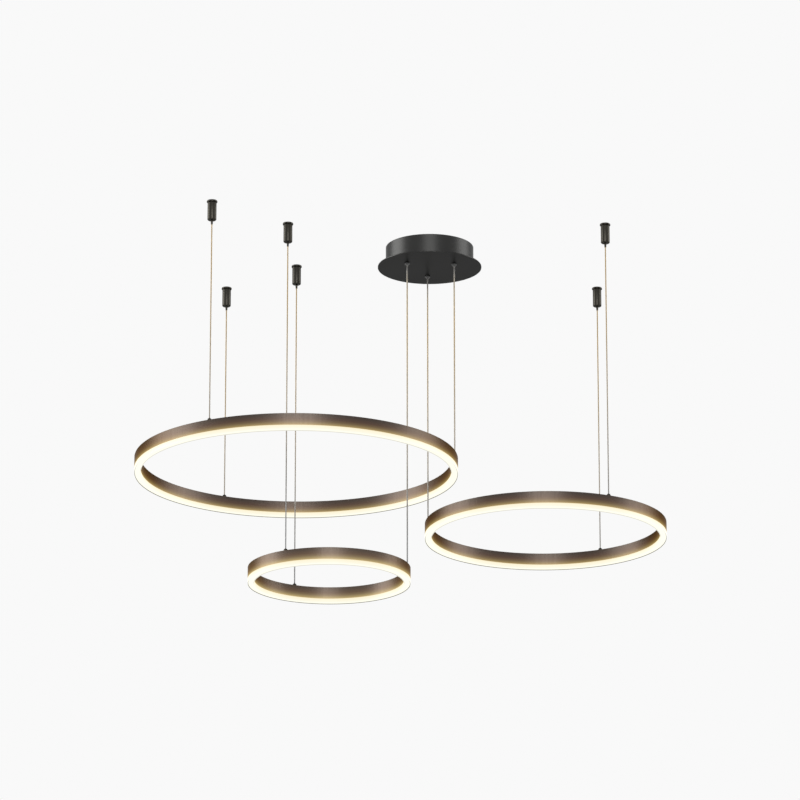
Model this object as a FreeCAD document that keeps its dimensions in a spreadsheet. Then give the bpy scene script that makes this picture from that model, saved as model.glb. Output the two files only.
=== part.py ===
"""Chandelier of three horizontal LED rings, each hung level on two steel cables and a power cable.

Millimetres and degrees. The origin is the centre of the canopy on the ceiling plane: +Z is up,
+X runs along the three rings and +Y points to the far side of the room.
"""

import FreeCAD, Part

import math
import os

import Sketcher

# name in the sheet, size, what it measures
SIZES = [
    ("large_radius", 400, "outside radius of the large ring"),
    ("medium_radius", 300, "outside radius of the medium ring"),
    ("small_radius", 200, "outside radius of the small ring"),
    ("large_drop", 600, "ceiling to the underside of the large ring"),
    ("medium_drop", 740, "ceiling to the underside of the medium ring"),
    ("small_drop", 880, "ceiling to the underside of the small ring"),
    ("large_spread", 120, "power cable to each steel cable, round the large ring"),
    ("medium_spread", 120, "power cable to each steel cable, round the medium ring"),
    ("small_spread", 120, "power cable to each steel cable, round the small ring"),
    ("large_turn", -1, "the large ring's turn about the vertical, as it hangs"),
    ("medium_turn", 0, "the medium ring's turn about the vertical, as it hangs"),
    ("small_turn", -2.5, "the small ring's turn about the vertical, as it hangs"),
    ("large_exit_angle", -26, "large ring's gland, round the canopy"),
    ("medium_exit_angle", 94, "medium ring's gland, round the canopy"),
    ("small_exit_angle", 214, "small ring's gland, round the canopy"),
    ("exit_radius", 68, "canopy's axis to each gland"),
    ("section_width", 16, "ring section, radially"),
    ("channel_depth", 29, "height of the metal channel"),
    ("channel_wall", 1.5, "side walls of the channel"),
    ("channel_roof", 3, "top wall of the channel"),
    ("glow_depth", 11, "diffuser below the channel's rim"),
    ("diffuser_seat", 7, "diffuser held between the channel's walls"),
    ("diffuser_slack", 0.1, "gap each side between diffuser and wall"),
    ("board_width", 7, "LED board, radially"),
    ("board_depth", 1.2, "LED board, thickness"),
    ("board_gap", 5, "between the ends of two LED boards"),
    ("large_boards", 24, "LED boards in the large ring"),
    ("medium_boards", 20, "LED boards in the medium ring"),
    ("small_boards", 16, "LED boards in the small ring"),
    ("socket_radius", 5, "knob on top of a ring, where a cable lands"),
    ("socket_height", 6, "height of that knob"),
    ("steel_radius", 1.5, "steel cable with its clear coat"),
    ("power_radius", 1.75, "power cable"),
    ("steel_play", 0.5, "gap round a steel cable in its bores"),
    ("power_play", 0.6, "gap round a power cable in its bores"),
    ("cable_lift", 0.3, "end of a steel cable above the floor of its socket"),
    ("power_tail", 4.5, "power cable below the top of the ring, inside the channel"),
    ("base_rim", 2, "flange of a ceiling anchor, beyond its barrel"),
    ("base_depth", 4.5, "thickness of that flange"),
    ("screw_hole", 2.25, "radius of the screw hole in the flange"),
    ("barrel_radius", 11, "barrel of a ceiling anchor"),
    ("barrel_length", 46.5, "barrel below the flange"),
    ("grip_depth", 8, "depth of the release nipple's hole in the barrel"),
    ("nipple_radius", 2.8, "release nipple"),
    ("nipple_slack", 0.2, "gap round the release nipple in the barrel"),
    ("nipple_reach", 10, "release nipple below the barrel"),
    ("nipple_travel", 2, "push that releases the cable"),
    ("nipple_spare", 0.5, "space left above the nipple when it is pushed in"),
    ("nipple_hold", 5, "steel cable inside the nipple"),
    ("drum_radius", 110, "canopy drum"),
    ("drum_wall", 2, "sheet of the canopy drum"),
    ("drum_depth", 50, "ceiling to the top of the canopy plate"),
    ("plate_radius", 130, "canopy plate"),
    ("plate_depth", 3, "thickness of the canopy plate"),
    ("gland_radius", 6.5, "outside of a gland, below the plate"),
    ("gland_depth", 5, "gland below the plate"),
    ("power_hold", 7, "power cable above the anchors' lowest point, in its gland"),
    ("bracket_width", 24, "strap screwed to the ceiling"),
    ("bracket_sheet", 2, "thickness of the strap"),
    ("bracket_tab", 16, "bent-down end of the strap"),
    ("bracket_holes", 70, "between the strap's two ceiling screws"),
    ("bracket_hole", 2.5, "radius of those screw holes"),
    ("tab_slack", 0.1, "gap between a tab's corners and the drum"),
    ("driver_length", 120, "LED driver, along X"),
    ("driver_width", 38, "LED driver, along Y"),
    ("driver_height", 24, "LED driver, height"),
    ("driver_edge", 2, "rounded upright edges of the LED driver"),
    ("terminal_length", 40, "mains terminal block, along X"),
    ("terminal_width", 18, "mains terminal block, along Y"),
    ("terminal_height", 15, "mains terminal block, height"),
    ("terminal_x", 40, "terminal block's centre, along X"),
    ("terminal_y", 50, "terminal block's centre, along Y"),
]

# ring, side of its power cable (0 is +X, 180 is -X)
RINGS = [("large", 0), ("medium", 180), ("small", 0)]
SIDES = [("front", -1), ("back", 1)]

# expressions that several pieces share
RING_TOP = "(sizes.glow_depth + sizes.channel_depth)"
ANCHOR_DEPTH = "(sizes.base_depth + sizes.barrel_length)"
SWING_DEPTH = f"({ANCHOR_DEPTH} + sizes.nipple_reach)"
BASE_RADIUS = "(sizes.barrel_radius + sizes.base_rim)"
CANOPY_DEPTH = "(sizes.drum_depth + sizes.plate_depth)"
STEEL_BORE = "(sizes.steel_radius + sizes.steel_play)"
POWER_BORE = "(sizes.power_radius + sizes.power_play)"
TAB_FACE = (
    "(sqrt((sizes.drum_radius - sizes.drum_wall)^2 - (sizes.bracket_width / 2)^2)"
    " - sizes.tab_slack)"
)

doc = FreeCAD.newDocument("ring_chandelier")
sheet = doc.addObject("Spreadsheet::Sheet", "sizes")
for row, (alias, size, meaning) in enumerate(SIZES, start=1):
    sheet.set(f"A{row}", meaning)
    sheet.set(f"B{row}", str(size))
    sheet.setAlias(f"B{row}", alias)
doc.recompute()


def worked_out(expression):
    """The number that an expression of the sheet's sizes gives."""
    result = sheet.evalExpression(expression)
    return float(getattr(result, "Value", result))


def put(piece, x="0", y="0", z="0", turn="0"):
    """Ties a piece's place to the sheet: its origin, and its turn about the vertical."""
    piece.setExpression("Placement.Base.x", x)
    piece.setExpression("Placement.Base.y", y)
    piece.setExpression("Placement.Base.z", z)
    piece.setExpression("Placement.Rotation.Angle", turn)


def new_body(name):
    body = doc.addObject("PartDesign::Body", name)
    body.Label = name
    return body


def sketch_on(body, role, name):
    """An empty sketch on one of the body's own origin planes."""
    sketch = body.newObject("Sketcher::SketchObject", name)
    plane = next(f for f in body.Origin.OriginFeatures if f.Role == role)
    sketch.AttachmentSupport = [(plane, "")]
    sketch.MapMode = "FlatFace"
    return sketch


def tie_point(sketch, geometry, end, x, y):
    """Holds a point of the sketch at two expressions, on an axis where one of them is 0."""
    for kind, axis, expression in (("DistanceX", -2, x), ("DistanceY", -1, y)):
        if expression == "0":
            sketch.addConstraint(Sketcher.Constraint("PointOnObject", geometry, end, axis))
            continue
        held = Sketcher.Constraint(kind, -1, 1, geometry, end, worked_out(expression))
        sketch.setExpression(f"Constraints[{sketch.addConstraint(held)}]", expression)


def draw_outline(sketch, corners):
    """A closed outline of straight lines through corners given as pairs of expressions."""
    places = [FreeCAD.Vector(worked_out(x), worked_out(y), 0) for x, y in corners]
    lines = [
        sketch.addGeometry(Part.LineSegment(a, b), False)
        for a, b in zip(places, places[1:] + places[:1])
    ]
    for line, following in zip(lines, lines[1:] + lines[:1]):
        sketch.addConstraint(Sketcher.Constraint("Coincident", line, 2, following, 1))
    for line, (x, y) in zip(lines, corners):
        tie_point(sketch, line, 1, x, y)


def draw_circle(sketch, x, y, radius):
    centre = FreeCAD.Vector(worked_out(x), worked_out(y), 0)
    up = FreeCAD.Vector(0, 0, 1)
    circle = sketch.addGeometry(Part.Circle(centre, up, worked_out(radius)), False)
    tie_point(sketch, circle, 3, x, y)
    held = Sketcher.Constraint("Radius", circle, worked_out(radius))
    sketch.setExpression(f"Constraints[{sketch.addConstraint(held)}]", radius)


def turned(name, corners):
    """A turned piece: an outline of (radius, height) corners spun about the body's Z axis."""
    body = new_body(name)
    sketch = sketch_on(body, "XZ_Plane", name + "_outline")
    draw_outline(sketch, corners)
    spin = body.newObject("PartDesign::Revolution", name + "_spin")
    spin.Profile = sketch
    spin.ReferenceAxis = (sketch, ["V_Axis"])
    spin.Angle = 360
    return body


def raised(name, corners, height):
    """A block: an outline in the horizontal plane, raised to a height."""
    body = new_body(name)
    sketch = sketch_on(body, "XY_Plane", name + "_outline")
    draw_outline(sketch, corners)
    pad = body.newObject("PartDesign::Pad", name + "_pad")
    pad.Profile = sketch
    pad.setExpression("Length", height)
    return body


def drill(body, role, name, circles):
    """Round holes of (x, y, radius) through the body, square to one of its origin planes."""
    doc.recompute()
    before = body.Shape.Volume
    sketch = sketch_on(body, role, name + "_sketch")
    for x, y, radius in circles:
        draw_circle(sketch, x, y, radius)
    holes = body.newObject("PartDesign::Pocket", name)
    holes.Profile = sketch
    holes.Type = "ThroughAll"
    holes.Midplane = True
    doc.recompute()
    if not body.Shape.Volume < before:
        raise ValueError(f"{name} cuts nothing")


def box_corners(length, width):
    """The corners of a rectangle centred on the origin."""
    return [
        (f"-{length} / 2", f"-{width} / 2"),
        (f"{length} / 2", f"-{width} / 2"),
        (f"{length} / 2", f"{width} / 2"),
        (f"-{length} / 2", f"{width} / 2"),
    ]


def tube_corners(bore, radius, low, high):
    """The outline of a plain bush."""
    return [(bore, low), (radius, low), (radius, high), (bore, high)]


def together(name, pieces):
    """Identical pieces in one node, as separate solids."""
    group = doc.addObject("Part::Compound", name)
    group.Links = pieces
    group.Label = name
    return group


def exit_of(ring):
    """Where the ring's power cable leaves the canopy."""
    angle = f"sizes.{ring}_exit_angle"
    return f"sizes.exit_radius * cos({angle})", f"sizes.exit_radius * sin({angle})"


def hanging_radius(ring):
    """Radius of the circle on which a ring's three cables land: the middle of its section."""
    return f"(sizes.{ring}_radius - sizes.section_width / 2)"


def centre_of(ring, power_side):
    """A ring's centre: its power cable hangs plumb below its gland."""
    x, y = exit_of(ring)
    angle = f"({power_side} + sizes.{ring}_turn)"
    reach = hanging_radius(ring)
    return f"({x} - {reach} * cos({angle}))", f"({y} - {reach} * sin({angle}))"


def landing(ring, power_side, side):
    """Where a steel cable lands on the ring, from the ring's centre."""
    way = side if power_side == 0 else -side
    angle = f"({power_side} + sizes.{ring}_turn + {way} * sizes.{ring}_spread)"
    reach = hanging_radius(ring)
    return f"{reach} * cos({angle})", f"{reach} * sin({angle})"


def plumb(ring, power_side, side):
    """The same place, from the canopy's centre."""
    centre_x, centre_y = centre_of(ring, power_side)
    x, y = landing(ring, power_side, side)
    return f"{centre_x} + {x}", f"{centre_y} + {y}"


def channel(ring, power_side):
    """The metal channel, open below, with a hole where the power cable comes in."""
    outer = f"sizes.{ring}_radius"
    inner = f"({outer} - sizes.section_width)"
    roof = f"({RING_TOP} - sizes.channel_roof)"
    body = turned(
        f"{ring}_ring_channel",
        [
            (inner, "sizes.glow_depth"),
            (f"{inner} + sizes.channel_wall", "sizes.glow_depth"),
            (f"{inner} + sizes.channel_wall", roof),
            (f"{outer} - sizes.channel_wall", roof),
            (f"{outer} - sizes.channel_wall", "sizes.glow_depth"),
            (outer, "sizes.glow_depth"),
            (outer, RING_TOP),
            (inner, RING_TOP),
        ],
    )
    sign = "" if power_side == 0 else "-"
    entry = [(f"{sign}{hanging_radius(ring)}", "0", POWER_BORE)]
    drill(body, "XY_Plane", f"{ring}_power_entry", entry)
    return body


def diffuser(ring):
    """The opal ring, held between the channel's walls and standing below them."""
    outer = f"(sizes.{ring}_radius - sizes.channel_wall - sizes.diffuser_slack)"
    inner = (
        f"(sizes.{ring}_radius - sizes.section_width"
        " + sizes.channel_wall + sizes.diffuser_slack)"
    )
    top = "sizes.glow_depth + sizes.diffuser_seat"
    return turned(f"{ring}_ring_diffuser", tube_corners(inner, outer, "0", top))


def led_boards(ring):
    """Straight LED boards round the roof of the channel, with a joint at the power cable."""
    name = f"{ring}_led_boards"
    half_pitch = f"(180 / sizes.{ring}_boards)"
    reach = hanging_radius(ring)
    middle = f"{reach} * (1 + cos({half_pitch})) / 2"
    half_length = f"({reach} * sin({half_pitch}) - sizes.board_gap / 2)"
    low = f"({middle} - sizes.board_width / 2)"
    high = f"({middle} + sizes.board_width / 2)"
    corners = [
        (low, f"-{half_length}"),
        (high, f"-{half_length}"),
        (high, half_length),
        (low, half_length),
    ]
    body = raised(name, corners, "sizes.board_depth")
    doc.recompute()
    pad = body.Tip
    pattern = body.newObject("PartDesign::PolarPattern", name + "_round")
    pattern.Originals = [pad]
    pattern.Axis = (pad.Profile[0], ["N_Axis"])
    pattern.Angle = 360
    pattern.setExpression("Occurrences", f"sizes.{ring}_boards")
    body.Tip = pattern
    return body


def socket(name, bore):
    """A knob on top of a ring, bored for its cable."""
    return turned(name, tube_corners(bore, "sizes.socket_radius", "0", "sizes.socket_height"))


def cable(name, radius, x, y, top, bottom):
    """A cable pulled straight, between two depths below the ceiling."""
    rod = doc.addObject("Part::Cylinder", name)
    rod.Label = name
    rod.setExpression("Radius", radius)
    rod.setExpression("Height", f"({bottom}) - ({top})")
    put(rod, x, y, f"-({bottom})")
    return rod


def build_ring(ring, power_side):
    """One ring with its boards, sockets and cables."""
    centre_x, centre_y = centre_of(ring, power_side)
    underside = f"-sizes.{ring}_drop"
    top_of_ring = f"(sizes.{ring}_drop - {RING_TOP})"
    turn = f"sizes.{ring}_turn"
    put(channel(ring, power_side), centre_x, centre_y, underside, turn)
    put(diffuser(ring), centre_x, centre_y, underside, turn)
    boards = led_boards(ring)
    board_level = f"{underside} + {RING_TOP} - sizes.channel_roof - sizes.board_depth"
    put(boards, centre_x, centre_y, board_level, f"180 / sizes.{ring}_boards + {turn}")

    exit_x, exit_y = exit_of(ring)
    power_socket = socket(f"{ring}_power_socket", POWER_BORE)
    put(power_socket, exit_x, exit_y, f"-{top_of_ring}")
    sockets = [power_socket]
    for side, sign in SIDES:
        x, y = plumb(ring, power_side, sign)
        knob = socket(f"{ring}_{side}_socket", STEEL_BORE)
        put(knob, x, y, f"-{top_of_ring}")
        sockets.append(knob)
        cable(
            f"{ring}_{side}_cable",
            "sizes.steel_radius",
            x,
            y,
            f"{SWING_DEPTH} - sizes.nipple_hold",
            f"{top_of_ring} - sizes.cable_lift",
        )
    together(f"{ring}_cable_sockets", sockets)
    cable(
        f"{ring}_power_cable",
        "sizes.power_radius",
        exit_x,
        exit_y,
        f"{SWING_DEPTH} - sizes.power_hold",
        f"{top_of_ring} + sizes.power_tail",
    )


def build_anchors():
    """Six ceiling anchors: a screwed flange, a barrel under it and the release nipple below."""
    bases, barrels = [], []
    nipple_hole = "(sizes.nipple_radius + sizes.nipple_slack)"
    held = "(sizes.grip_depth - sizes.nipple_travel - sizes.nipple_spare)"
    for ring, power_side in RINGS:
        for side, sign in SIDES:
            name = f"{ring}_{side}"
            x, y = plumb(ring, power_side, sign)
            base = turned(
                f"{name}_anchor_base",
                tube_corners("sizes.screw_hole", BASE_RADIUS, "-sizes.base_depth", "0"),
            )
            put(base, x, y)
            bases.append(base)
            barrel = turned(
                f"{name}_anchor_barrel",
                [
                    (nipple_hole, "0"),
                    ("sizes.barrel_radius", "0"),
                    ("sizes.barrel_radius", "sizes.barrel_length"),
                    ("0", "sizes.barrel_length"),
                    ("0", "sizes.grip_depth"),
                    (nipple_hole, "sizes.grip_depth"),
                ],
            )
            put(barrel, x, y, f"-{ANCHOR_DEPTH}")
            barrels.append(barrel)
            nipple = turned(
                f"{name}_release_nipple",
                tube_corners(
                    STEEL_BORE, "sizes.nipple_radius", "0", f"sizes.nipple_reach + {held}"
                ),
            )
            put(nipple, x, y, f"-{SWING_DEPTH}")
    together("anchor_bases", bases)
    together("anchor_barrels", barrels)


def build_canopy():
    """The canopy: strap, drum, plate, glands and what the drum hides."""
    turned(
        "canopy_drum",
        tube_corners(
            "sizes.drum_radius - sizes.drum_wall",
            "sizes.drum_radius",
            "-sizes.drum_depth",
            "0",
        ),
    )

    plate = turned(
        "canopy_plate",
        [
            ("0", f"-{CANOPY_DEPTH}"),
            ("sizes.plate_radius", f"-{CANOPY_DEPTH}"),
            ("sizes.plate_radius", "-sizes.drum_depth"),
            ("0", "-sizes.drum_depth"),
        ],
    )
    exits = [(*exit_of(ring), POWER_BORE) for ring, _ in RINGS]
    drill(plate, "XY_Plane", "cable_holes", exits)

    glands = []
    for ring, _ in RINGS:
        gland = turned(
            f"{ring}_gland",
            tube_corners(POWER_BORE, "sizes.gland_radius", "-sizes.gland_depth", "0"),
        )
        put(gland, *exit_of(ring), f"-{CANOPY_DEPTH}")
        glands.append(gland)
    together("cable_glands", glands)

    build_bracket()

    driver = raised(
        "led_driver",
        box_corners("sizes.driver_length", "sizes.driver_width"),
        "sizes.driver_height",
    )
    doc.recompute()
    block = driver.Tip
    upright = [
        f"Edge{i}"
        for i, edge in enumerate(block.Shape.Edges, start=1)
        if abs(edge.Vertexes[0].Z - edge.Vertexes[-1].Z) > worked_out("sizes.driver_height / 2")
    ]
    rounded = driver.newObject("PartDesign::Fillet", "driver_edges")
    rounded.Base = (block, upright)
    rounded.setExpression("Radius", "sizes.driver_edge")
    put(driver, z="-sizes.drum_depth")

    terminals = raised(
        "terminal_block",
        box_corners("sizes.terminal_length", "sizes.terminal_width"),
        "sizes.terminal_height",
    )
    put(terminals, "sizes.terminal_x", "sizes.terminal_y", "-sizes.drum_depth")


def build_bracket():
    """The ceiling strap, with bent-down tabs that the drum slips over."""
    tab_inside = f"({TAB_FACE} - sizes.bracket_sheet)"
    bracket = new_body("ceiling_bracket")
    sketch = sketch_on(bracket, "XZ_Plane", "bracket_outline")
    draw_outline(
        sketch,
        [
            (f"-{TAB_FACE}", "0"),
            (f"-{TAB_FACE}", "-sizes.bracket_tab"),
            (f"-{tab_inside}", "-sizes.bracket_tab"),
            (f"-{tab_inside}", "-sizes.bracket_sheet"),
            (tab_inside, "-sizes.bracket_sheet"),
            (tab_inside, "-sizes.bracket_tab"),
            (TAB_FACE, "-sizes.bracket_tab"),
            (TAB_FACE, "0"),
        ],
    )
    pad = bracket.newObject("PartDesign::Pad", "bracket_pad")
    pad.Profile = sketch
    pad.setExpression("Length", "sizes.bracket_width")
    pad.Midplane = True
    ceiling_holes = [
        (x, "0", "sizes.bracket_hole")
        for x in ("sizes.bracket_holes / 2", "-sizes.bracket_holes / 2")
    ]
    drill(bracket, "XY_Plane", "ceiling_screw_holes", ceiling_holes)


def written_nodes():
    """Every piece that isn't part of a group, checked."""
    doc.recompute()
    for item in doc.Objects:
        if "Invalid" in item.State or "Error" in item.State:
            raise ValueError(f"{item.Label} failed: {item.State}")
    groups = [item for item in doc.Objects if item.TypeId == "Part::Compound"]
    grouped = {piece.Name for group in groups for piece in group.Links}
    kinds = ("PartDesign::Body", "Part::Compound", "Part::Cylinder")
    nodes = [o for o in doc.Objects if o.TypeId in kinds and o.Name not in grouped]
    for node in nodes:
        if node.Shape.isNull() or not node.Shape.isValid() or not node.Shape.Solids:
            raise ValueError(f"{node.Label} has no valid solid")
    return nodes


for ring_name, power_at in RINGS:
    build_ring(ring_name, power_at)
build_anchors()
build_canopy()

os.makedirs("parts", exist_ok=True)
for node in written_nodes():
    node.Shape.exportStep(f"parts/{node.Label}.step")
    box = node.Shape.BoundBox
    extent = f"{box.XLength:.1f} x {box.YLength:.1f} x {box.ZLength:.1f}"
    print(f"{node.Label}: {len(node.Shape.Solids)} solid(s), {extent}")
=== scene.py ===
"""The looks of a chandelier of three LED rings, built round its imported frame.

Metres. The origin is the centre of the canopy on the ceiling plane, +Z is up, and +Y points away
from the camera.
"""

import math

import bmesh
import bpy
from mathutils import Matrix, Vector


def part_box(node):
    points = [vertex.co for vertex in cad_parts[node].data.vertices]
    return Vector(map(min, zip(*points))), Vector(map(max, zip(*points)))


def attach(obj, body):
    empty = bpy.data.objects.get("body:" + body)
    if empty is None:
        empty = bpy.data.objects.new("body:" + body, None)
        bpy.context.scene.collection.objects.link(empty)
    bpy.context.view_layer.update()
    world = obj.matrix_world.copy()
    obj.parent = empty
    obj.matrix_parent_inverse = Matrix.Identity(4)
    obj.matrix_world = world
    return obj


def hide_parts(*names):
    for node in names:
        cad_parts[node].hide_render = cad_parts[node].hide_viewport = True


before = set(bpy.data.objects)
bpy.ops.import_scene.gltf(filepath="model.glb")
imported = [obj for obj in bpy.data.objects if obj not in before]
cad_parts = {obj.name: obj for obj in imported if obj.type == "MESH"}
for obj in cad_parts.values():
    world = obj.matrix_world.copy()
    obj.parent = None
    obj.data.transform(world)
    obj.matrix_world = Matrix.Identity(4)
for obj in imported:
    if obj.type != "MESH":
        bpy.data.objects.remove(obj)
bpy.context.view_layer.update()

MM = 0.001

# rings: outside radius, ceiling to underside, side of the power cable (1 is +X), turn in degrees
RINGS = {
    "large": (400 * MM, 600 * MM, 1, -1.0),
    "medium": (300 * MM, 740 * MM, -1, 0.0),
    "small": (200 * MM, 880 * MM, 1, -2.5),
}
SIDES = ("front", "back")
SECTION_WIDTH = 16 * MM
SECTION_HEIGHT = 40 * MM
GLOW_HEIGHT = 11 * MM
CHANNEL_WALL = 1.5 * MM
CHANNEL_ROOF = 3 * MM
CHANNEL_EDGE = 0.25 * MM
DIFFUSER_SEAT = 7 * MM
DIFFUSER_SLACK = 0.1 * MM
DIFFUSER_EDGE = 0.15 * MM
RIM_GAP = 0.05 * MM
LIP_WIDTH = 0.6 * MM
LIP_DEPTH = 1.3 * MM
KNOB_RADIUS = 5 * MM
KNOB_HEIGHT = 6 * MM
KNOB_COLLAR = 2 * MM

STEEL_RADIUS = 1.5 * MM
STEEL_BORE = 2.0 * MM
STEEL_HOLD = 5 * MM
POWER_RADIUS = 1.75 * MM
POWER_BORE = 2.35 * MM
POWER_TOP = -54 * MM
CABLE_LIFT = 0.3 * MM
CABLE_POINTS = 9

# anchors: the ends are measured down from the ceiling
SCREW_HOLE = 2.25 * MM
BASE_RADIUS = 13 * MM
BASE_DEPTH = 4.5 * MM
BASE_EDGE = 0.35 * MM
BARREL_RADIUS = 11 * MM
BARREL_END = 51 * MM
BARREL_CHAMFER = 2 * MM
NECK_DEPTH = 0.6 * MM
GRIP_RADIUS = 3 * MM
GRIP_DEPTH = 8 * MM
NIPPLE_RADIUS = 2.8 * MM
NIPPLE_IN_GRIP = 5.5 * MM
NIPPLE_END = 61 * MM

DRUM_RADIUS = 110 * MM
DRUM_WALL = 2 * MM
DRUM_DEPTH = 50 * MM
PLATE_RADIUS = 130 * MM
PLATE_END = 53 * MM
CANOPY_EDGE = 0.6 * MM
GLAND_RADIUS = 6.5 * MM
GLAND_DEPTH = 5 * MM
TURNED_EDGE = 0.3 * MM

# driver and terminal block
COVER_LENGTH = 13 * MM
COVER_STEP = 0.6 * MM
TERMINALS = 3
TERMINAL_HUMP = 5 * MM
HUMP_START = 5 * MM
TERMINAL_EDGE = 0.8 * MM
TERMINAL_SCREW = 2.2 * MM
SCREW_OFFSET = 3.8 * MM
SCREW_STEPS = 20

RING_STEPS = 300
CANOPY_STEPS = 180
SMALL_STEPS = 40
BEVEL_SEGMENTS = 2
SHARP_BEND = math.radians(35)
SHADED_BEND = math.radians(20)

# camera, fitted to the photo: metres, degrees and pixels
CAMERA_PLACE = (-0.0743, -11.3016, -3.8312)
CAMERA_PITCH = 16.892
FOCAL_PIXELS = 4747.26
PHOTO_WIDTH = 800
SENSOR_WIDTH = 36
FLOOR_HEIGHT = -4.4
FLOOR_REACH = 60


# ---------------------------------------------------------------- finishes

def finish_nodes(name, colour=(0.5, 0.5, 0.5), metallic=0.0, roughness=0.5):
    """A new finish: its node tree and its shader."""
    finish = bpy.data.materials.new(name)
    finish.use_nodes = True
    tree = finish.node_tree
    shader = tree.nodes["Principled BSDF"]
    shader.inputs["Base Color"].default_value = (*colour, 1)
    shader.inputs["Metallic"].default_value = metallic
    shader.inputs["Roughness"].default_value = roughness
    return finish, tree, shader


def node(tree, kind, **settings):
    made = tree.nodes.new(kind)
    for key, value in settings.items():
        setattr(made, key, value)
    return made


def object_point(tree, centre=(0, 0, 0), scale=(1, 1, 1)):
    """Object coordinates, centred and stretched."""
    coordinates = node(tree, "ShaderNodeTexCoord")
    mapping = node(tree, "ShaderNodeMapping")
    mapping.inputs["Location"].default_value = [-c * s for c, s in zip(centre, scale)]
    mapping.inputs["Scale"].default_value = scale
    tree.links.new(coordinates.outputs["Object"], mapping.inputs["Vector"])
    return mapping.outputs["Vector"]


def noise(tree, point, scale, detail=3.0):
    texture = node(tree, "ShaderNodeTexNoise")
    texture.inputs["Scale"].default_value = scale
    texture.inputs["Detail"].default_value = detail
    tree.links.new(point, texture.inputs["Vector"])
    return texture.outputs["Fac"]


def arithmetic(tree, kind, first, second=0.0):
    """One step of arithmetic on a socket and a socket or a number."""
    step = node(tree, "ShaderNodeMath", operation=kind)
    tree.links.new(first, step.inputs[0])
    if hasattr(second, "is_linked"):
        tree.links.new(second, step.inputs[1])
    else:
        step.inputs[1].default_value = second
    return step.outputs[0]


def ranged(tree, value, low, high, to_low=0.0, to_high=1.0):
    """The value from low to high, spread over another range."""
    spread = node(tree, "ShaderNodeMapRange")
    spread.inputs["From Min"].default_value = low
    spread.inputs["From Max"].default_value = high
    spread.inputs["To Min"].default_value = to_low
    spread.inputs["To Max"].default_value = to_high
    tree.links.new(value, spread.inputs["Value"])
    return spread.outputs["Result"]


def ramp(tree, value, stops):
    """Colours along a value: (place, colour) stops."""
    colours = node(tree, "ShaderNodeValToRGB")
    band = colours.color_ramp
    while len(band.elements) < len(stops):
        band.elements.new(0.5)
    for element, (place, colour) in zip(band.elements, stops):
        element.position = place
        element.color = (*colour, 1)
    tree.links.new(value, colours.inputs["Fac"])
    return colours.outputs["Color"]


def mixed(tree, factor, first, second, blend="MIX"):
    """Two colours mixed. Each is a socket or a plain colour, and so is the factor."""
    mix = node(tree, "ShaderNodeMix", data_type="RGBA", blend_type=blend)
    sockets = (mix.inputs["Factor"], mix.inputs[6], mix.inputs[7])
    for socket, value in zip(sockets, (factor, first, second)):
        if hasattr(value, "is_linked"):
            tree.links.new(value, socket)
        else:
            socket.default_value = (*value, 1) if isinstance(value, tuple) else value
    return mix.outputs[2]


def shaded(tree, colour, value, less, more):
    """A colour made darker and lighter by a noise."""
    shade = ramp(tree, value, [(0.3, (less,) * 3), (0.7, (more,) * 3)])
    return mixed(tree, 1.0, colour, shade, "MULTIPLY")


def height_of(tree, point):
    parts = node(tree, "ShaderNodeSeparateXYZ")
    tree.links.new(point, parts.inputs["Vector"])
    return parts.outputs["Z"]


def distance_from_axis(tree, point):
    """How far a point is from the upright axis of its coordinates."""
    flat = node(tree, "ShaderNodeVectorMath", operation="MULTIPLY")
    flat.inputs[1].default_value = (1, 1, 0)
    tree.links.new(point, flat.inputs[0])
    length = node(tree, "ShaderNodeVectorMath", operation="LENGTH")
    tree.links.new(flat.outputs["Vector"], length.inputs[0])
    return length.outputs["Value"]


def bumped(tree, shader, value, strength, distance):
    bump = node(tree, "ShaderNodeBump")
    bump.inputs["Strength"].default_value = strength
    bump.inputs["Distance"].default_value = distance
    tree.links.new(value, bump.inputs["Height"])
    tree.links.new(bump.outputs["Normal"], shader.inputs["Normal"])


def glowing(tree, shader, colour):
    """Lets a finish give off a colour at its plain strength."""
    tree.links.new(colour, shader.inputs["Emission Color"])
    shader.inputs["Emission Strength"].default_value = 1.0


def dark_metal(name, colour, roughness, edge, centre=(0, 0, 0), brushed=False):
    """Dark metal with a fine grain or upright brush marks. Its edges mirror only their tint."""
    finish, tree, shader = finish_nodes(name, colour, 1.0, roughness)
    shader.inputs["Specular Tint"].default_value = (*edge, 1)
    clouds = noise(tree, object_point(tree, centre), 6, 2)
    tree.links.new(shaded(tree, colour, clouds, 0.92, 1.08), shader.inputs["Base Color"])
    stretch = (1, 1, 0.02) if brushed else (1, 1, 1)
    marks = noise(tree, object_point(tree, centre, stretch), 700, 2)
    gloss = ranged(tree, marks, 0.3, 0.7, roughness - 0.04, roughness + 0.06)
    tree.links.new(gloss, shader.inputs["Roughness"])
    bumped(tree, shader, marks, 0.05, 0.05 * MM)
    return finish, tree, shader


# painted glow of the diffuser on the bronze, given off by the metal itself: (share of the metal's
# height, colour) stops.
# The small ring's walls face each other more closely, so their painted glow is stronger.
BLEED = [
    (0.0, (0.36, 0.25, 0.085)),
    (0.15, (0.193, 0.134, 0.045)),
    (0.3, (0.098, 0.058, 0.018)),
    (0.5, (0.038, 0.013, 0.004)),
    (0.85, (0.003, 0.0, 0.0)),
]
SMALL_RING_BLEED = [
    (0.0, (0.47, 0.35, 0.14)),
    (0.15, (0.28, 0.205, 0.085)),
    (0.3, (0.155, 0.105, 0.045)),
    (0.5, (0.078, 0.042, 0.02)),
    (0.85, (0.030, 0.020, 0.014)),
]


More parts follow.
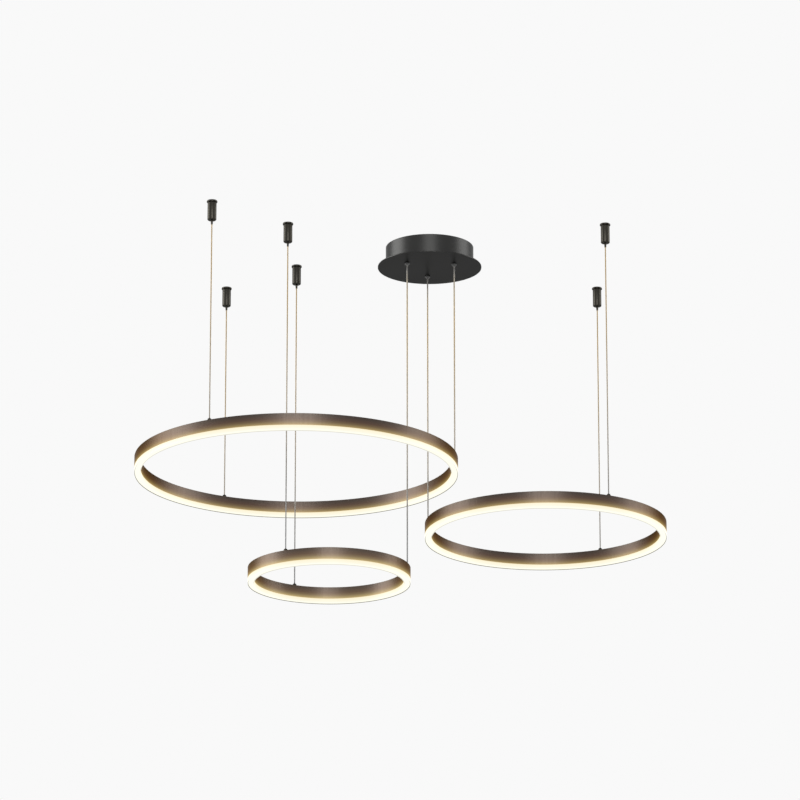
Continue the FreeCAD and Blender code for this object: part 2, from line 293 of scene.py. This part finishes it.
def bronze_finish(ring):
    """Dark brown bronze. A painted glow of the diffuser, given off by the metal itself, bleeds
    gold over its lowest part.
    """
    drop = RINGS[ring][1]
    centre = (*ring_centre(ring), 0)
    finish, tree, shader = dark_metal(
        f"bronze_{ring}", (0.060, 0.0495, 0.042), 0.35, (0.5, 0.4, 0.3), centre, brushed=True
    )
    up = ranged(
        tree, height_of(tree, object_point(tree)), GLOW_HEIGHT - drop, SECTION_HEIGHT - drop
    )
    # painted light: the bronze gives off the diffuser's gold glow, strongest at its lower edge
    glowing(tree, shader, ramp(tree, up, SMALL_RING_BLEED if ring == "small" else BLEED))
    return finish


def glow_finish(ring):
    """Opal acrylic, lit from inside: warmest by the metal, with a painted shade that dims the
    glow on the slopes of its lips.
    """
    radius, drop = RINGS[ring][:2]
    finish, tree, shader = finish_nodes(f"glow_{ring}", (0.03, 0.03, 0.027), roughness=0.35)
    shader.inputs["Specular IOR Level"].default_value = 0.15
    place = object_point(tree, (*ring_centre(ring), 0))
    rise = arithmetic(tree, "ADD", height_of(tree, place), drop)
    lit = ramp(tree, ranged(tree, rise, 0, GLOW_HEIGHT), [
        (0.0, (0.96, 0.95, 0.83)),
        (0.3, (0.96, 0.92, 0.75)),
        (0.8, (0.96, 0.89, 0.67)),
        (1.0, (0.93, 0.78, 0.50)),
    ])
    middle = radius - SECTION_WIDTH / 2
    across = arithmetic(tree, "SUBTRACT", distance_from_axis(tree, place), middle)
    slope = SECTION_WIDTH / 2 - LIP_WIDTH - LIP_DEPTH / 2
    off_middle = arithmetic(tree, "ABSOLUTE", across)
    off_slope = arithmetic(tree, "ABSOLUTE", arithmetic(tree, "SUBTRACT", off_middle, slope))
    near_slope = ranged(tree, off_slope, 0.4 * LIP_DEPTH, 0.6 * LIP_DEPTH, 1, 0)
    low = ranged(tree, rise, 0.75 * LIP_DEPTH, 0.95 * LIP_DEPTH, 1, 0)
    outer = ranged(tree, across, -1 * MM, 1 * MM)
    # painted shade: the glow turns grey on the inner lip slopes and nearly dark on the outer ones
    slopes = mixed(tree, outer, (0.66, 0.65, 0.59), (0.1, 0.1, 0.085))
    grey = arithmetic(tree, "MULTIPLY", near_slope, low)
    glowing(tree, shader, mixed(tree, grey, lit, slopes))
    grain = noise(tree, object_point(tree), 600, 2)
    tree.links.new(ranged(tree, grain, 0.3, 0.7, 0.3, 0.42), shader.inputs["Roughness"])
    return finish


def plastic_finish(name, colour, roughness):
    """Moulded plastic: a fine grain and slightly uneven gloss."""
    finish, tree, shader = finish_nodes(name, colour, roughness=roughness)
    point = object_point(tree)
    tree.links.new(shaded(tree, colour, noise(tree, point, 40), 0.93, 1.05),
                   shader.inputs["Base Color"])
    fine = noise(tree, point, 1500, 2)
    gloss = ranged(tree, fine, 0.3, 0.7, roughness - 0.05, roughness + 0.08)
    tree.links.new(gloss, shader.inputs["Roughness"])
    bumped(tree, shader, fine, 0.12, 0.05 * MM)
    return finish


def zinc_finish(name, colour, roughness):
    """Galvanised sheet: a faint spangle."""
    finish, tree, shader = finish_nodes(name, colour, 1.0, roughness)
    spangle = node(tree, "ShaderNodeTexVoronoi")
    spangle.inputs["Scale"].default_value = 260
    tree.links.new(object_point(tree), spangle.inputs["Vector"])
    flakes = node(tree, "ShaderNodeSeparateColor")
    tree.links.new(spangle.outputs["Color"], flakes.inputs["Color"])
    flake = flakes.outputs[0]
    tree.links.new(shaded(tree, colour, flake, 0.9, 1.04), shader.inputs["Base Color"])
    gloss = ranged(tree, flake, 0, 1, roughness - 0.06, roughness + 0.1)
    tree.links.new(gloss, shader.inputs["Roughness"])
    return finish


def cable_finish(name, strands, tints_with_painted_light):
    """A coated cable, its colour from (height, colour) stops that hold painted light, with its
    strands under the coat.
    """
    finish, tree, shader = finish_nodes(name, roughness=0.4)
    shader.inputs["Specular IOR Level"].default_value = 0.25
    up = ranged(tree, height_of(tree, object_point(tree)), -0.8, 0)
    # grey is the cable's own colour; the warm, lighter colour on the upper lengths is painted
    # light
    colour = ramp(tree, up, [(1 + height / 0.8, tint) for height, tint in tints_with_painted_light])
    wound = node(tree, "ShaderNodeTexWave", wave_type="BANDS", bands_direction="DIAGONAL")
    wound.inputs["Scale"].default_value = strands
    tree.links.new(object_point(tree), wound.inputs["Vector"])
    tree.links.new(
        shaded(tree, colour, wound.outputs["Fac"], 0.97, 1.02), shader.inputs["Base Color"]
    )
    bumped(tree, shader, wound.outputs["Fac"], 0.05, 0.05 * MM)
    return finish


# ---------------------------------------------------------------- shapes

def placed(name, data):
    """A new object in the scene."""
    made = bpy.data.objects.new(name, data)
    bpy.context.scene.collection.objects.link(made)
    return made


def axis_of(cad_node):
    """Where an upright CAD node stands."""
    low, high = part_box(cad_node)
    return (low.x + high.x) / 2, (low.y + high.y) / 2


def ring_centre(ring):
    """The centre of a ring, from its power cable and how the ring is turned."""
    radius, _, power_side, turn = RINGS[ring]
    reach = power_side * (radius - SECTION_WIDTH / 2)
    x, y = axis_of(f"{ring}_power_cable")
    angle = math.radians(turn)
    return x - reach * math.cos(angle), y - reach * math.sin(angle)


def joined(shape, part):
    """Moves a part's mesh into the shape."""
    carrier = bpy.data.meshes.new("carrier")
    part.to_mesh(carrier)
    part.free()
    shape.from_mesh(carrier)
    bpy.data.meshes.remove(carrier)


def spun(shape, outline, place, steps=SMALL_STEPS, rounding=0.0):
    """Adds to shape an outline of (radius, height) corners, spun about the upright axis.

    An outline that starts off the axis is closed into a loop. One that starts and ends on it
    meets at its poles.
    """
    part = bmesh.new()
    corners = [part.verts.new((r, 0, h)) for r, h in outline]
    pairs = list(zip(corners, corners[1:]))
    if outline[0][0] > 0:
        pairs.append((corners[-1], corners[0]))
    sides = [part.edges.new(pair) for pair in pairs]
    bmesh.ops.spin(
        part, geom=corners + sides, cent=(0, 0, 0), axis=(0, 0, 1), dvec=(0, 0, 0),
        angle=2 * math.pi, steps=steps, use_merge=True, use_duplicate=False,
    )
    bmesh.ops.remove_doubles(part, verts=part.verts, dist=1e-6)
    if rounding:
        sharp = [
            e for e in part.edges
            if len(e.link_faces) == 2 and e.calc_face_angle() > SHARP_BEND
        ]
        bmesh.ops.bevel(
            part, geom=sharp, offset=rounding, offset_type="OFFSET",
            segments=BEVEL_SEGMENTS, profile=0.5, affect="EDGES", material=-1,
        )
    bmesh.ops.recalc_face_normals(part, faces=part.faces)
    bmesh.ops.translate(part, verts=part.verts, vec=place)
    joined(shape, part)


def block(shape, low, high, rounding, segments=BEVEL_SEGMENTS):
    """Adds a box between two corners, with rounded edges."""
    part = bmesh.new()
    bmesh.ops.create_cube(part, size=1)
    bmesh.ops.scale(part, verts=part.verts, vec=[b - a for a, b in zip(low, high)])
    middle = [(a + b) / 2 for a, b in zip(low, high)]
    bmesh.ops.translate(part, verts=part.verts, vec=middle)
    bmesh.ops.bevel(
        part, geom=part.edges[:], offset=rounding, offset_type="OFFSET",
        segments=segments, profile=0.5, affect="EDGES", material=-1,
    )
    joined(shape, part)


def piece(name, shape, finish, body, slot, *nodes):
    """Makes the finished shape a piece that rides on a body, in place of CAD nodes."""
    mesh = bpy.data.meshes.new(name)
    shape.to_mesh(mesh)
    shape.free()
    mesh.polygons.foreach_set("use_smooth", [True] * len(mesh.polygons))
    mesh.set_sharp_from_angle(angle=SHADED_BEND)
    mesh.materials.append(finish)
    made = placed(name, mesh)
    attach(made, body)
    if nodes:
        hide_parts(*nodes)


def dressed(cad_node, finish):
    """A CAD node shown as it is, in its finish."""
    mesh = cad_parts[cad_node].data
    mesh.materials.clear()
    mesh.materials.append(finish)


# ---------------------------------------------------------------- camera and light

def set_up_camera():
    lens = bpy.data.cameras.new("camera")
    lens.sensor_width = SENSOR_WIDTH
    lens.lens = FOCAL_PIXELS / PHOTO_WIDTH * SENSOR_WIDTH
    lens.clip_end = 200
    camera = placed("camera", lens)
    camera.location = CAMERA_PLACE
    camera.rotation_euler = (math.radians(90 + CAMERA_PITCH), 0, 0)
    bpy.context.scene.camera = camera


def seen_as_background(tree):
    """1 where a surface is looked at, mirrored or seen through, and 0 where it lights another."""
    path = node(tree, "ShaderNodeLightPath")
    seen = path.outputs["Is Camera Ray"]
    for ray in ("Is Glossy Ray", "Is Transmission Ray"):
        seen = arithmetic(tree, "MAXIMUM", seen, path.outputs[ray])
    return seen


def set_up_studio():
    """A pale room: an even white surround, three soft boxes and a floor far below."""
    scene = bpy.context.scene
    scene.view_settings.view_transform = "Standard"
    world = bpy.data.worlds.new("studio")
    scene.world = world
    world.use_nodes = True
    tree = world.node_tree
    shown = tree.nodes["Background"]
    shown.inputs["Color"].default_value = (0.947, 0.947, 0.947, 1)
    light = node(tree, "ShaderNodeBackground")
    light.inputs["Color"].default_value = (1, 1, 1, 1)
    light.inputs["Strength"].default_value = 0.42
    choice = node(tree, "ShaderNodeMixShader")
    tree.links.new(seen_as_background(tree), choice.inputs[0])
    tree.links.new(light.outputs[0], choice.inputs[1])
    tree.links.new(shown.outputs[0], choice.inputs[2])
    tree.links.new(choice.outputs[0], tree.nodes["World Output"].inputs["Surface"])

    # place, width and height, watts
    boxes = (
        ("front_box", (0.0, -5.0, 0.6), (2.4, 2.2), 88),
        ("left_box", (-5.0, 0.4, 1.1), (3.4, 3.0), 210),
        ("right_box", (5.0, 0.7, 1.1), (3.2, 3.0), 140),
    )
    for name, place, (width, height), power in boxes:
        data = bpy.data.lights.new(name, "AREA")
        data.shape = "RECTANGLE"
        data.size = width
        data.size_y = height
        data.energy = power
        lamp = placed(name, data)
        lamp.location = place
        aim = lamp.location.copy()
        aim.z += 0.5
        lamp.rotation_euler = aim.to_track_quat("Z", "Y").to_euler()
        lamp.visible_camera = False

    ground = bmesh.new()
    bmesh.ops.create_grid(ground, x_segments=1, y_segments=1, size=FLOOR_REACH)
    bmesh.ops.translate(ground, verts=ground.verts, vec=(0, 0, FLOOR_HEIGHT))
    mesh = bpy.data.meshes.new("floor")
    ground.to_mesh(mesh)
    ground.free()
    floor = placed("floor", mesh)
    paint, tree, shader = finish_nodes("floor", (0.55, 0.55, 0.55), roughness=0.9)
    shader.inputs["Specular IOR Level"].default_value = 0
    shader.inputs["Emission Color"].default_value = (1, 1, 1, 1)
    # brighter further out, so that it meets the background
    far = ranged(tree, distance_from_axis(tree, object_point(tree)), 3, 14, 0.44, 0.73)
    seen = arithmetic(tree, "MULTIPLY", seen_as_background(tree), far)
    tree.links.new(seen, shader.inputs["Emission Strength"])
    clear = node(tree, "ShaderNodeBsdfTransparent")
    side = node(tree, "ShaderNodeNewGeometry")
    one_way = node(tree, "ShaderNodeMixShader")
    tree.links.new(side.outputs["Backfacing"], one_way.inputs[0])
    tree.links.new(shader.outputs[0], one_way.inputs[1])
    tree.links.new(clear.outputs[0], one_way.inputs[2])
    tree.links.new(one_way.outputs[0], tree.nodes["Material Output"].inputs["Surface"])
    mesh.materials.append(paint)


# ---------------------------------------------------------------- cables

def taut_cable(cad_node, radius, top, landing, finish):
    """A cable pulled straight between the ceiling and its ring."""
    x, y = axis_of(cad_node)
    curve = bpy.data.curves.new(f"{cad_node}_line", "CURVE")
    curve.dimensions = "3D"
    curve.bevel_depth = radius
    curve.bevel_resolution = 3
    curve.use_fill_caps = True
    line = curve.splines.new("NURBS")
    line.points.add(CABLE_POINTS - 1)
    for i, point in enumerate(line.points):
        point.co = (x, y, top + (landing - top) * i / (CABLE_POINTS - 1), 1)
    line.order_u = 3
    line.use_endpoint_u = True
    curve.materials.append(finish)
    cable = placed(f"{cad_node}_shown", curve)
    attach(cable, cad_node)
    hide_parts(cad_node)


def hang_cables():
    # grey is the cables' own colour; the warm, lighter colour on their upper lengths is painted
    # light. The power cables turn grey again just under the canopy.
    steel = cable_finish("coated_steel", 320, (
        (-0.76, (0.27, 0.27, 0.27)),
        (-0.5, (0.39, 0.34, 0.27)),
        (-0.2, (0.47, 0.335, 0.16)),
    ))
    power = cable_finish("clear_flex", 30, (
        (-0.76, (0.31, 0.31, 0.31)),
        (-0.5, (0.44, 0.39, 0.32)),
        (-0.2, (0.53, 0.395, 0.21)),
        (-0.13, (0.50, 0.40, 0.25)),
        (-0.07, (0.36, 0.35, 0.33)),
    ))
    for ring, (_, drop, _, _) in RINGS.items():
        landing = SECTION_HEIGHT + CABLE_LIFT - drop
        for side in SIDES:
            taut_cable(
                f"{ring}_{side}_cable", STEEL_RADIUS, -NIPPLE_END + STEEL_HOLD,
                landing, steel,
            )
        taut_cable(
            f"{ring}_power_cable", POWER_RADIUS, POWER_TOP,
            landing, power,
        )


# ---------------------------------------------------------------- rings

def build_ring(ring, knob_metal):
    radius, drop = RINGS[ring][:2]
    place = (*ring_centre(ring), -drop)
    inner = radius - SECTION_WIDTH
    roof = SECTION_HEIGHT - CHANNEL_ROOF
    body = f"{ring}_ring"

    channel = bmesh.new()
    spun(channel, [
        (inner, GLOW_HEIGHT),
        (inner + CHANNEL_WALL, GLOW_HEIGHT),
        (inner + CHANNEL_WALL, roof),
        (radius - CHANNEL_WALL, roof),
        (radius - CHANNEL_WALL, GLOW_HEIGHT),
        (radius, GLOW_HEIGHT),
        (radius, SECTION_HEIGHT),
        (inner, SECTION_HEIGHT),
    ], place, RING_STEPS, CHANNEL_EDGE)
    piece(
        f"{ring}_channel", channel, bronze_finish(ring), body, "bronze_aluminium",
        f"{ring}_ring_channel",
    )

    glow = bmesh.new()
    leg = CHANNEL_WALL + DIFFUSER_SLACK
    under = GLOW_HEIGHT - RIM_GAP
    flat = LIP_WIDTH + LIP_DEPTH
    spun(glow, [
        (inner, 0),
        (inner + LIP_WIDTH, 0),
        (inner + flat, LIP_DEPTH),
        (radius - flat, LIP_DEPTH),
        (radius - LIP_WIDTH, 0),
        (radius, 0),
        (radius, under),
        (radius - leg, under),
        (radius - leg, GLOW_HEIGHT + DIFFUSER_SEAT),
        (inner + leg, GLOW_HEIGHT + DIFFUSER_SEAT),
        (inner + leg, under),
        (inner, under),
    ], place, RING_STEPS, DIFFUSER_EDGE)
    piece(
        f"{ring}_diffuser", glow, glow_finish(ring), body, "opal_diffuser",
        f"{ring}_ring_diffuser",
    )

    knobs = bmesh.new()
    swell = KNOB_HEIGHT - KNOB_COLLAR
    dome = [
        (KNOB_RADIUS * math.cos(a) ** 0.8, KNOB_COLLAR + swell * math.sin(a))
        for a in (math.radians(degrees) for degrees in range(0, 61, 12))
    ]
    for kind in (*SIDES, "power"):
        x, y = axis_of(f"{ring}_{kind}_cable")
        bore = POWER_BORE if kind == "power" else STEEL_BORE
        spun(knobs, [
            (bore, 0),
            (KNOB_RADIUS, 0),
            *dome,
            (bore + 0.35 * MM, KNOB_HEIGHT),
            (bore, KNOB_HEIGHT - 0.2 * MM),
        ], (x, y, SECTION_HEIGHT - drop))
    piece(
        f"{ring}_knobs", knobs, knob_metal, body, "dark_fitting", f"{ring}_cable_sockets"
    )


# ---------------------------------------------------------------- anchors

def build_anchors(metal):
    flanges, barrels = bmesh.new(), bmesh.new()
    for ring in RINGS:
        for side in SIDES:
            x, y = axis_of(f"{ring}_{side}_cable")
            spun(flanges, [
                (SCREW_HOLE, -BASE_DEPTH),
                (BASE_RADIUS, -BASE_DEPTH),
                (BASE_RADIUS, -1.2 * MM),
                (BASE_RADIUS - 1 * MM, 0),
                (SCREW_HOLE, 0),
            ], (x, y, 0), SMALL_STEPS, BASE_EDGE)
            spun(barrels, [
                (0, GRIP_DEPTH - BARREL_END),
                (GRIP_RADIUS, GRIP_DEPTH - BARREL_END),
                (GRIP_RADIUS, -BARREL_END),
                (BARREL_RADIUS - 2.2 * MM, -BARREL_END),
                (BARREL_RADIUS, BARREL_CHAMFER - BARREL_END),
                (BARREL_RADIUS, -BASE_DEPTH - 1.2 * MM),
                (BARREL_RADIUS - NECK_DEPTH, -BASE_DEPTH - 1.0 * MM),
                (BARREL_RADIUS - NECK_DEPTH, -BASE_DEPTH),
                (0, -BASE_DEPTH),
            ], (x, y, 0), SMALL_STEPS, TURNED_EDGE)
            nipple = bmesh.new()
            spun(nipple, [
                (STEEL_BORE, -NIPPLE_END),
                (STEEL_BORE + 0.25 * MM, -NIPPLE_END),
                (STEEL_BORE + 0.35 * MM, -NIPPLE_END + 0.4 * MM),
                (NIPPLE_RADIUS, -BARREL_END - 2.6 * MM),
                (NIPPLE_RADIUS, -BARREL_END + NIPPLE_IN_GRIP),
                (STEEL_BORE, -BARREL_END + NIPPLE_IN_GRIP),
            ], (x, y, 0))
            name = f"{ring}_{side}_release"
            piece(f"{name}_tip", nipple, metal, name, "dark_fitting", f"{name}_nipple")
    piece("anchor_flanges", flanges, metal, "canopy", "dark_fitting", "anchor_bases")
    piece("anchor_grips", barrels, metal, "canopy", "dark_fitting", "anchor_barrels")


# ---------------------------------------------------------------- canopy

def build_gear(case, ivory, plated):
    """The driver and the terminal block, which stand on the plate inside the canopy."""
    low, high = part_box("led_driver")
    driver = bmesh.new()
    for end in (low.x, high.x - COVER_LENGTH):
        block(driver, (end, low.y, low.z), (end + COVER_LENGTH, high.y, high.z), 2 * MM, 3)
    tuck = COVER_LENGTH - 0.5 * MM
    block(
        driver, (low.x + tuck, low.y + COVER_STEP, low.z),
        (high.x - tuck, high.y - COVER_STEP, high.z - COVER_STEP), 1.6 * MM, 3,
    )
    piece("driver_case", driver, case, "canopy", "white_plastic", "led_driver")

    low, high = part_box("terminal_block")
    middle = (low.y + high.y) / 2
    pitch = (high.x - low.x) / TERMINALS
    terminals, screws = bmesh.new(), bmesh.new()
    block(terminals, low, (high.x, high.y, high.z - TERMINAL_HUMP), TERMINAL_EDGE)
    for i in range(TERMINALS):
        left = low.x + i * pitch
        block(
            terminals, (left + 0.8 * MM, low.y + 1.5 * MM, low.z + HUMP_START),
            (left + pitch - 0.8 * MM, high.y - 1.5 * MM, high.z - 0.6 * MM), TERMINAL_EDGE,
        )
        for side in (-1, 1):
            spun(screws, [
                (0, -3 * MM),
                (TERMINAL_SCREW, -3 * MM),
                (TERMINAL_SCREW, 0),
                (0.5 * MM, 0),
                (0, -0.4 * MM),
            ], (left + pitch / 2, middle + side * SCREW_OFFSET, high.z), SCREW_STEPS)
    piece("terminals", terminals, ivory, "canopy", "white_plastic", "terminal_block")
    piece("terminal_screws", screws, plated, "canopy", "zinc_steel")


def build_canopy(paint, plate_paint, gland_plastic):
    drum = bmesh.new()
    spun(drum, [
        (DRUM_RADIUS - DRUM_WALL, -DRUM_DEPTH),
        (DRUM_RADIUS, -DRUM_DEPTH),
        (DRUM_RADIUS, 0),
        (DRUM_RADIUS - DRUM_WALL, 0),
    ], (0, 0, 0), CANOPY_STEPS, CANOPY_EDGE)
    piece("drum", drum, paint, "canopy", "canopy_paint", "canopy_drum")

    plate = bmesh.new()
    spun(plate, [
        (0, -PLATE_END),
        (PLATE_RADIUS, -PLATE_END),
        (PLATE_RADIUS, -DRUM_DEPTH),
        (0, -DRUM_DEPTH),
    ], (0, 0, 0), CANOPY_STEPS, CANOPY_EDGE)
    piece("plate", plate, plate_paint, "canopy", "canopy_paint", "canopy_plate")

    glands = bmesh.new()
    for ring in RINGS:
        x, y = axis_of(f"{ring}_power_cable")
        spun(glands, [
            (POWER_BORE, -GLAND_DEPTH),
            (4.2 * MM, -GLAND_DEPTH),
            (4.6 * MM, -3.0 * MM),
            (GLAND_RADIUS, -2.6 * MM),
            (GLAND_RADIUS, 0),
            (POWER_BORE, 0),
        ], (x, y, -PLATE_END), SMALL_STEPS, TURNED_EDGE)
    piece("glands", glands, gland_plastic, "canopy", "grey_gland", "cable_glands")


set_up_camera()
set_up_studio()
hang_cables()
fitting_metal = dark_metal("fitting_metal", (0.034, 0.032, 0.027), 0.34, (0.6,) * 3)[0]
charcoal = (0.033, 0.033, 0.0322)
for ring_name in RINGS:
    build_ring(ring_name, fitting_metal)
build_anchors(fitting_metal)
build_canopy(
    dark_metal("drum_paint", charcoal, 0.36, (0.66,) * 3)[0],
    dark_metal("plate_paint", charcoal, 0.36, (0.5,) * 3)[0],
    plastic_finish("gland_grey", (0.12, 0.12, 0.12), 0.5),
)

board = plastic_finish("board_white", (0.75, 0.75, 0.72), 0.5)
for ring_name in RINGS:
    dressed(f"{ring_name}_led_boards", board)
dressed("ceiling_bracket", zinc_finish("zinc_steel", (0.42, 0.43, 0.44), 0.46))
build_gear(
    plastic_finish("driver_white", (0.66, 0.66, 0.65), 0.45),
    plastic_finish("terminal_ivory", (0.62, 0.59, 0.5), 0.5),
    zinc_finish("screw_zinc", (0.5, 0.48, 0.42), 0.4),
)
